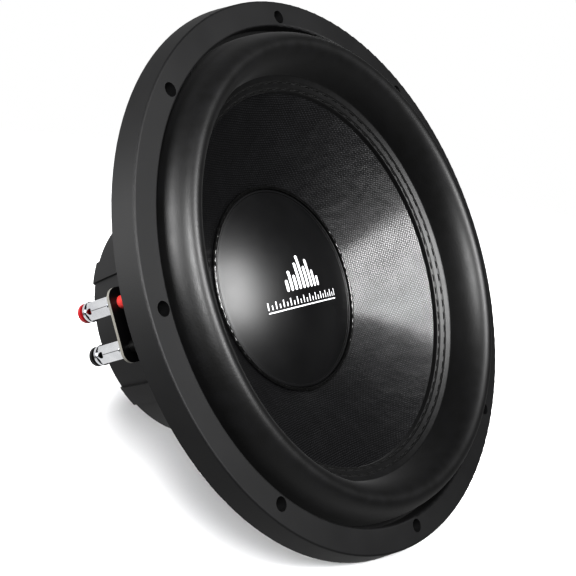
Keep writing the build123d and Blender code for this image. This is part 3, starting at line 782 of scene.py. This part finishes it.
@dataclass
class Surround:
    """High foam roll with its outer flat, and the stitched land on the cone."""

    line: ConeLine = field(default_factory=ConeLine)
    centre: tuple[float, float] = (130.0, 3.3)
    half_width: float = 12.3
    half_height: float = 30.0
    foam: float = 2.5
    foot_depth: float = -4.0
    flat_outer: float = 146.5
    flat_front: float = -5.6
    flat_rear: float = -4.1
    land_width: float = 8.0
    land_round: float = 0.8
    foot_round: float = 3.0
    stitch_rows: tuple[float, float] = (3.4, 6.7)
    stitch_count: int = 84
    stitch_length: float = 5.6
    stitch_radius: float = 0.45
    # How far a stitch's middle stands up and its ends dip, as shares of its radius.
    stitch_rise: float = 0.9
    stitch_dip: float = 2.4
    groove_depth: float = 0.7
    groove_width: float = 0.7
    segments: int = 288

    @property
    def inner_foot(self) -> float:
        """Radius where the roll's inner wall meets the land."""
        rise = (self.foot_depth - self.centre[1]) / self.half_height
        return self.centre[0] - self.half_width * math.sqrt(1 - rise**2)

    def foot_angle(self, shrink: float) -> float:
        """Angle in degrees on an arch, shrunk by a thickness, where it reaches the foot's depth."""
        return math.degrees(math.asin((self.centre[1] - self.foot_depth) / (self.half_height - shrink)))

    def land_face(self) -> Outline:
        """Front of the land from its inner edge to the roll's foot, pressed in along both stitch rows.

        Returns:
            The open line, as radius and depth.
        """
        thick = self.foam * self.line.stretch
        inner = self.inner_foot - self.land_width
        points = [(inner, self.line.depth(inner) - thick)]
        for row in sorted(self.stitch_rows, reverse=True):
            middle = self.inner_foot - row
            for offset, share in ((-1, 0), (-0.5, 0.8), (0, 1), (0.5, 0.8), (1, 0)):
                radius = middle + offset * self.groove_width
                points.append((radius, self.line.depth(radius) - thick + share * self.groove_depth))
        return points

    def outline(self) -> Outline:
        """Section of the foam, from the land over the roll to the outer flat and back underneath.

        Returns:
            The closed section, as radius and depth.
        """
        wide, tall = self.half_width, self.half_height
        front_angle = self.foot_angle(0)
        back_angle = self.foot_angle(self.foam)
        thick = self.foam * self.line.stretch
        foot = (self.inner_foot, self.line.depth(self.inner_foot) - thick)
        over = arc(self.centre, (wide, tall), (180 - front_angle, front_angle), 56)
        under = arc(self.centre, (wide - self.foam, tall - self.foam), (back_angle, 180 - back_angle), 40)
        under_foot = self.inner_foot + self.foam
        face = [*self.land_face(), foot]
        first_roll = len(face) - 1
        points = [
            *face,
            *over[1:],
            (self.flat_outer, self.flat_front),
            (self.flat_outer, self.flat_rear),
            (under[0][0], self.flat_rear),
            *under[:-1],
            (under_foot, self.foot_depth),
            (under_foot, self.line.depth(under_foot)),
            (self.inner_foot - self.land_width, self.line.depth(self.inner_foot - self.land_width)),
        ]
        return rounded(points, {0: self.land_round, first_roll: self.foot_round})

    def stitch_mesh(self) -> bpy.types.Mesh:
        """Both rows of stitches, each one an arched thread that dips into the foam at its ends.

        Returns:
            The mesh, in the row frame.
        """
        work = bmesh.new()
        lift = self.foam * self.line.stretch - self.groove_depth
        steps = 8
        for row in self.stitch_rows:
            radius = self.inner_foot - row
            depth = self.line.depth(radius) - lift
            half_turn = self.stitch_length / radius / 2
            for stitch in range(self.stitch_count):
                middle = FULL_TURN * stitch / self.stitch_count
                points = []
                for step in range(steps + 1):
                    share = 2 * step / steps - 1
                    sink = self.stitch_radius * (self.stitch_dip * abs(share) ** 4 - self.stitch_rise)
                    points.append(at_place(radius, depth + sink, middle + half_turn * share))
                sweep_round(work, points, self.stitch_radius, 8, 0.5)
        return close_mesh("land_stitches", work)

    def build(self, shop: Workshop) -> None:
        """Build the roll, and the stitches, which ride on the cone.

        Args:
            shop: The workshop that makes the pieces.
        """
        mesh = turned_mesh("foam_roll", self.outline(), self.segments)
        roll = shop.piece(mesh, FOAM_SKIN, ("surround",))
        blend_round(roll, self.centre[0] + self.half_width, self.inner_foot)
        stitches = shop.piece(self.stitch_mesh(), THREAD, ("surround_stitching",))
        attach(stitches, Body.CONE.value)


@dataclass
class Cone:
    """Straight cloth cone with a short neck."""

    line: ConeLine = field(default_factory=ConeLine)
    thickness: float = 1.5
    neck_radius: float = 38.6
    lip_thickness: float = 1.4
    lip_length: float = 3.0
    segments: int = 256

    def outline(self) -> Outline:
        """Section of the cone and its neck.

        Returns:
            The closed section, as radius and depth.
        """
        line = self.line
        thick = self.thickness * line.stretch
        lip = self.neck_radius + self.lip_thickness
        lip_end = line.depth(self.neck_radius) + self.lip_length
        steps = 16
        run = line.edge_radius - self.neck_radius
        radii = [self.neck_radius + run * step / steps for step in range(steps + 1)]
        points = [(radius, line.depth(radius)) for radius in radii]
        points.append((line.edge_radius, line.depth(line.edge_radius) + thick))
        points += [(lip, line.depth(lip) + thick), (lip, lip_end), (self.neck_radius, lip_end)]
        return rounded(points, {steps + 2: 1.0, steps + 3: 0.4})

    def build(self, shop: Workshop) -> None:
        """Build the cone and dress the coil parts behind it.

        Args:
            shop: The workshop that makes the pieces.
        """
        mesh = turned_mesh("woven_cone", self.outline(), self.segments)
        cone = shop.piece(mesh, CONE_CLOTH, ("cone",))
        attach(cone, Body.CONE.value)
        shop.dress("coil_former", FORMER_FILM)
        shop.dress("coil_winding_inner", COPPER)
        shop.dress("coil_winding_outer", COPPER)


@dataclass
class DustCap:
    """Shallow dome with a raised rim lip, its bead of glue and its printed graphic."""

    line: ConeLine = field(default_factory=ConeLine)
    radius: float = 60.0
    height: float = 14.0
    thickness: float = 1.0
    lip_width: float = 1.8
    lip_height: float = 1.2
    glue_radius: float = 1.2
    glue_ripple: float = 0.22
    glue_lobes: tuple[int, int] = (23, 57)
    segments: int = 224

    def dome_depth(self, radius: float, below: float = 0.0) -> float:
        """Depth of the dome, or of the shell's back.

        Args:
            radius: Distance from the axis.
            below: How far behind the front face, square to it.

        Returns:
            The depth.
        """
        sphere = (self.radius**2 + self.height**2) / (2 * self.height)
        centre = self.line.depth(self.radius) - self.height + sphere
        return centre - math.sqrt((sphere - below) ** 2 - radius**2)

    def outline(self) -> Outline:
        """Section of the shell from the axis over the dome and lip, and back underneath.

        Returns:
            The closed section, as radius and depth.
        """
        inner = self.radius - self.lip_width
        steps = 26
        radii = [inner * step / steps for step in range(steps + 1)]
        lip_front = self.dome_depth(inner) - self.lip_height
        front = [(radius, self.dome_depth(radius)) for radius in radii]
        crown = (inner + 0.35 * self.lip_width, lip_front)
        shoulder = (self.radius, lip_front + 0.35 * self.lip_height)
        foot = [(self.radius, self.line.depth(self.radius)), (inner - 0.5, self.line.depth(inner - 0.5))]
        back = [(radius, self.dome_depth(radius, self.thickness)) for radius in reversed(radii[:-1])]
        points = [*front, (inner + 0.12 * self.lip_width, lip_front + 0.2), crown, shoulder, *foot, *back]
        lip_start = len(front) - 1
        return rounded(points, {lip_start: 0.5, lip_start + 1: 0.3, lip_start + 2: 0.5, lip_start + 3: 0.8})

    def glue_mesh(self) -> bpy.types.Mesh:
        """Bead of glue whose width wanders a little as a nozzle lays it.

        Returns:
            The mesh, in the row frame.
        """
        work = bmesh.new()
        sides = 12
        count = 2 * self.segments
        rings = []
        for step in range(count):
            turn = FULL_TURN * step / count
            ripple = math.sin(self.glue_lobes[0] * turn) * math.sin(self.glue_lobes[1] * turn + 1)
            radius = self.glue_radius * (1 - self.glue_ripple * (0.5 + 0.5 * ripple))
            centre = self.radius + self.glue_radius
            depth = self.line.depth(centre) - self.glue_radius * self.line.stretch
            ring = []
            for side in range(sides):
                angle = FULL_TURN * side / sides
                place = at_place(centre + radius * math.cos(angle), depth + radius * math.sin(angle), turn)
                ring.append(work.verts.new(place))
            rings.append(ring)
        for index, ring in enumerate(rings):
            following = rings[(index + 1) % count]
            for side in range(sides):
                after = (side + 1) % sides
                work.faces.new((ring[side], ring[after], following[after], following[side]))
        return close_mesh("rim_glue", work)

    def build(self, shop: Workshop) -> None:
        """Build the cap and its glue, and dress the printed graphic.

        Args:
            shop: The workshop that makes the pieces.
        """
        mesh = turned_mesh("cap_shell", self.outline(), self.segments)
        cap = shop.piece(mesh, CAP_POLYMER, ("dust_cap",))
        glue = shop.piece(self.glue_mesh(), GLUE, ("cap_glue_bead",))
        for thing in (cap, glue):
            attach(thing, Body.CONE.value)
        shop.dress("cap_emblem", WHITE_INK)


@dataclass
class Spider:
    """Corrugated cloth disc that centres the coil, with its clamp ring."""

    inner: float = 38.5
    neck_end: float = 42.0
    wave_end: float = 82.5
    outer: float = 92.0
    middle: float = 52.52
    thickness: float = 0.6
    wave_height: float = 2.2
    wave_count: int = 5
    segments: int = 160

    def outline(self) -> Outline:
        """Section of the disc: a flat neck, the waves and a flat edge.

        Returns:
            The closed section, as radius and depth.
        """
        steps = 16 * self.wave_count
        line = [(self.inner, self.middle)]
        for step in range(steps + 1):
            share = step / steps
            height = self.wave_height * math.sin(FULL_TURN * self.wave_count * share)
            line.append((self.neck_end + share * (self.wave_end - self.neck_end), self.middle + height))
        line.append((self.outer, self.middle))
        half = self.thickness / 2
        front = [(radius, depth - half) for radius, depth in line]
        rear = [(radius, depth + half) for radius, depth in reversed(line)]
        return front + rear

    def build(self, shop: Workshop) -> None:
        """Build the disc and dress its clamp ring.

        Args:
            shop: The workshop that makes the pieces.
        """
        mesh = turned_mesh("spider_disc", self.outline(), self.segments)
        disc = shop.piece(mesh, SPIDER_CLOTH, ("spider",))
        blend_round(disc, self.wave_end, self.neck_end)
        shop.dress("spider_clamp_ring", CLAMP_PLASTIC)


@dataclass
class TinselLeads:
    """Braided leads from the solder lugs to the coil former."""

    radius: float = 0.9
    fixed_radius: float = 104.0
    moving_radius: float = 42.0
    route: tuple[tuple[float, float, float], ...] = (
        (107.2, 35.2, 11.8),
        (100.5, 31.0, 11.6),
        (88.0, 35.0, 11.0),
        (74.0, 40.6, 10.2),
        (61.0, 46.0, 9.4),
        (49.5, 47.6, 8.4),
        (39.4, 50.2, 7.4),
    )

    def centreline(self, side: Side, pole: Pole) -> list[Vector]:
        """Points along one lead's smooth route, in metres.

        Args:
            side: The side of the basket that it starts from.
            pole: The terminal that it starts from.

        Returns:
            Points on a smooth spline through the route.
        """
        across = 1 if side is Side.RIGHT else -1
        up = 1 if pole is Pole.POSITIVE else -1
        curve = bpy.data.curves.new("lead_route", "CURVE")
        curve.dimensions = "3D"
        curve.resolution_u = 8
        spline = curve.splines.new("NURBS")
        spline.points.add(len(self.route) - 1)
        for point, (x, depth, z) in zip(spline.points, self.route):
            point.co = (across * x * MM, depth * MM, up * z * MM, 1)
        spline.order_u = 3
        spline.use_endpoint_u = True
        holder = bpy.data.objects.new("lead_route", curve)
        line = bpy.data.meshes.new_from_object(holder)
        points = [vertex.co.copy() for vertex in line.vertices]
        bpy.data.objects.remove(holder)
        bpy.data.curves.remove(curve)
        bpy.data.meshes.remove(line)
        return points

    def build(self, shop: Workshop) -> None:
        """Build each side's pair of leads.

        Args:
            shop: The workshop that makes the pieces.
        """
        for side in Side:
            work = bmesh.new()
            for pole in Pole:
                sweep_round(work, self.centreline(side, pole), self.radius, 12)
            mesh = close_mesh(f"lead_pair_{side.value}", work)
            pair = shop.piece(mesh, TINSEL, (f"tinsel_leads_{side.value}",))
            blend_round(pair, self.fixed_radius, self.moving_radius)


# --- Frame ---


@dataclass
class Chassis:
    """Trim ring, basket, motor and boot, which stand still."""

    finishes: tuple[tuple[str, Finish], ...] = (
        ("trim_ring", TRIM_RUBBER),
        ("basket", POWDER_COAT),
        ("top_plate", ZINC),
        ("magnet_front", FERRITE),
        ("magnet_rear", FERRITE),
        ("yoke", YOKE_STEEL),
        ("shorting_ring", ALUMINIUM),
        ("vent_screen", MESH_STEEL),
        ("motor_screws", BLACK_OXIDE),
        ("magnet_boot", BOOT_RUBBER),
    )

    def build(self, shop: Workshop) -> None:
        """Dress the pieces.

        Args:
            shop: The workshop that dresses them.
        """
        for node, finish in self.finishes:
            shop.dress(node, finish)


@dataclass
class Terminals:
    """Terminal boards with their push terminals and small hardware."""

    colours: dict[Pole, Moulded] = field(
        default_factory=lambda: {Pole.POSITIVE: RED_PLASTIC, Pole.NEGATIVE: BLACK_PLASTIC}
    )
    sleeves: dict[Pole, Moulded] = field(
        default_factory=lambda: {Pole.POSITIVE: RED_SLEEVE, Pole.NEGATIVE: BLACK_PLASTIC}
    )

    def build(self, shop: Workshop) -> None:
        """Dress the boards, barrels, caps, sleeves, springs and hardware.

        Args:
            shop: The workshop that dresses them.
        """
        for side in Side:
            shop.dress(f"terminal_board_{side.value}", BOARD)
            for pole, colour in self.colours.items():
                tag = f"{side.value}_{pole.value}"
                shop.dress(f"terminal_barrel_{tag}", CHROME)
                shop.dress(f"terminal_insulator_{tag}", self.sleeves[pole])
                shop.dress(f"push_cap_{tag}", colour)
                shop.dress(f"terminal_spring_{tag}", SPRING_STEEL)
        shop.dress("terminal_washers", NICKEL)
        shop.dress("terminal_nuts", NICKEL)
        shop.dress("board_rivets", NICKEL)
        shop.dress("solder_lugs", TIN)


# --- Studio ---


@dataclass(frozen=True)
class Softbox:
    """One rectangular softbox that faces the speaker."""

    name: str
    direction: tuple[float, float, float]
    distance: float
    size: tuple[float, float]
    power: float

    def build(self, lit: bpy.types.Collection | None = None) -> None:
        """Add the light, aimed at the speaker's middle.

        Args:
            lit: The only things that it lights, or None for all.
        """
        light = bpy.data.lights.new(self.name, "AREA")
        light.shape = "RECTANGLE"
        light.size, light.size_y = self.size
        light.energy = self.power
        lamp = bpy.data.objects.new(self.name, light)
        bpy.context.scene.collection.objects.link(lamp)
        towards = Vector(self.direction).normalized()
        lamp.location = towards * self.distance
        lamp.rotation_euler = (-towards).to_track_quat("-Z", "Y").to_euler()
        if lit is not None:
            lamp.light_linking.receiver_collection = lit


@dataclass
class Studio:
    """Pale floor, soft lights and the camera."""

    floor_colour: str = "#f2f2f3"
    floor_reach: float = 1.6
    # Distances in metres between which the floor fades out.
    floor_fade: tuple[float, float] = (0.35, 1.1)
    # The speaker leans back by this angle, so that it rests on its rim and its boot.
    lean: float = math.radians(31.5)
    backdrop: float = 1.0
    front_fill: float = 0.02
    rear_fill: float = 1.0
    level_fill: float = 0.2
    floor_fill: float = 0.4
    # Parts of a unit direction where the fill changes: front to rear, off the level, and down to the floor.
    rear_range: tuple[float, float] = (0.1, 0.7)
    level_range: tuple[float, float] = (0.02, 0.3)
    floor_range: tuple[float, float] = (-0.7, -0.95)
    # Display gamma. Under 1 it deepens the blacks.
    contrast: float = 0.8
    lens: float = 68.97
    camera_place: tuple[float, float, float] = (-510.7, -374.7, -23.4)
    camera_aim: tuple[float, float, float] = (0.78222, 0.62203, 0.03489)
    camera_up: tuple[float, float, float] = (0.13569, -0.22477, 0.96491)
    softboxes: tuple[Softbox, ...] = (
        Softbox("front_softbox", (0.05, -0.97, 0.1), 1.3, (0.5, 0.68), 36.0),
        Softbox("side_softbox", (-0.72, -0.66, 0.27), 0.9, (0.16, 0.45), 13.5),
        Softbox("strip_softbox", (-0.94, 0.1, 0.5), 1.4, (0.3, 0.7), 24.0),
    )
    # It lights the floor alone, so that the floor stays pale beside a dark object.
    overhead: Softbox = Softbox("overhead_softbox", (0.15, -0.71, 0.79), 1.5, (0.9, 0.9), 45.0)

    def floor(self) -> bpy.types.Collection:
        """Lay the floor under the rim and fade it into the backdrop.

        Returns:
            A collection that holds only the floor.
        """
        work = bmesh.new()
        bmesh.ops.create_circle(work, cap_ends=True, segments=96, radius=self.floor_reach)
        mesh = bpy.data.meshes.new("floor")
        work.to_mesh(mesh)
        work.free()
        floor = bpy.data.objects.new("floor", mesh)
        bpy.context.scene.collection.objects.link(floor)
        floor.location = (0, 0, cad_low.z)
        floor.rotation_euler = (self.lean, 0, 0)
        material = bpy.data.materials.new("pale_floor")
        material.use_nodes = True
        tree = material.node_tree
        tree.nodes.clear()
        place = add_node(tree, "TexCoord").outputs["Object"]
        far = add_node(tree, "VectorMath", operation="LENGTH", in0=place)
        fade = add_node(
            tree,
            "MapRange",
            Value=far.outputs["Value"],
            From_Min=self.floor_fade[0],
            From_Max=self.floor_fade[1],
        )
        # The underside is clear, so the leaning floor never hides the speaker from a view below it.
        shape = add_node(tree, "NewGeometry")
        hidden = add_node(
            tree, "Math", operation="MAXIMUM", in0=fade.outputs["Result"], in1=shape.outputs["Backfacing"]
        )
        paint = add_node(tree, "BsdfDiffuse", Color=linear(self.floor_colour))
        clear = add_node(tree, "BsdfTransparent")
        mixed = add_node(
            tree, "MixShader", Fac=hidden.outputs[0], in1=paint.outputs["BSDF"], in2=clear.outputs["BSDF"]
        )
        add_node(tree, "OutputMaterial", Surface=mixed.outputs["Shader"])
        mesh.materials.append(material)
        floor.visible_glossy = False
        floor.visible_diffuse = False
        floor.visible_shadow = False
        alone = bpy.data.collections.new("floor_only")
        alone.objects.link(floor)
        return alone

    def world(self) -> None:
        """Set a white backdrop and a fill that changes with direction, as the fill and range fields say."""
        world = bpy.data.worlds.new("studio")
        bpy.context.scene.world = world
        world.use_nodes = True
        tree = world.node_tree
        tree.nodes.clear()
        place = add_node(tree, "TexCoord")
        split = add_node(tree, "SeparateXYZ", Vector=place.outputs["Generated"])
        level = add_node(tree, "Math", operation="ABSOLUTE", in0=split.outputs["Z"])
        rise, band, bounce = (
            add_node(
                tree,
                "MapRange",
                interpolation_type="SMOOTHSTEP",
                Value=part,
                From_Min=places[0],
                From_Max=places[1],
                To_Min=fills[0],
                To_Max=fills[1],
            ).outputs[0]
            for part, places, fills in (
                (split.outputs["Y"], self.rear_range, (self.front_fill, self.rear_fill)),
                (level.outputs[0], self.level_range, (self.level_fill, 1.0)),
                (split.outputs["Z"], self.floor_range, (0.0, self.floor_fill)),
            )
        )
        strength = add_node(tree, "Math", operation="MULTIPLY_ADD", in0=rise, in1=band, in2=bounce)
        fill = add_node(tree, "Background", Color=(1, 1, 1, 1), Strength=strength.outputs[0])
        shown = add_node(tree, "Background", Color=(1, 1, 1, 1), Strength=self.backdrop)
        rays = add_node(tree, "LightPath")
        mixed = add_node(
            tree, "MixShader", Fac=rays.outputs["Is Camera Ray"], in1=fill.outputs[0], in2=shown.outputs[0]
        )
        add_node(tree, "OutputWorld", Surface=mixed.outputs[0])

    def camera(self) -> None:
        """Place the camera at the viewing angle, with its roll."""
        data = bpy.data.cameras.new("camera")
        data.lens = self.lens
        data.clip_start = 0.01
        camera = bpy.data.objects.new("camera", data)
        bpy.context.scene.collection.objects.link(camera)
        back = -Vector(self.camera_aim).normalized()
        right = Vector(self.camera_up).cross(back).normalized()
        up = back.cross(right)
        turn = Matrix((right, up, back)).transposed().to_4x4()
        camera.matrix_world = Matrix.Translation(Vector(self.camera_place) * MM) @ turn
        bpy.context.scene.camera = camera

    def build(self) -> None:
        """Set up the whole studio."""
        self.camera()
        self.overhead.build(self.floor())
        self.world()
        for softbox in self.softboxes:
            softbox.build()
        view = bpy.context.scene.view_settings
        view.view_transform = "Standard"
        view.gamma = self.contrast


def main() -> None:
    """Build the studio and each sub-assembly, in order."""
    logging.basicConfig(level=logging.INFO, format="%(message)s")
    Studio().build()
    shop = Workshop()
    for assembly in (Chassis(), Surround(), Cone(), DustCap(), Spider(), TinselLeads(), Terminals()):
        log.info("building %s", type(assembly).__name__)
        assembly.build(shop)


if __name__ == "__main__":
    main()
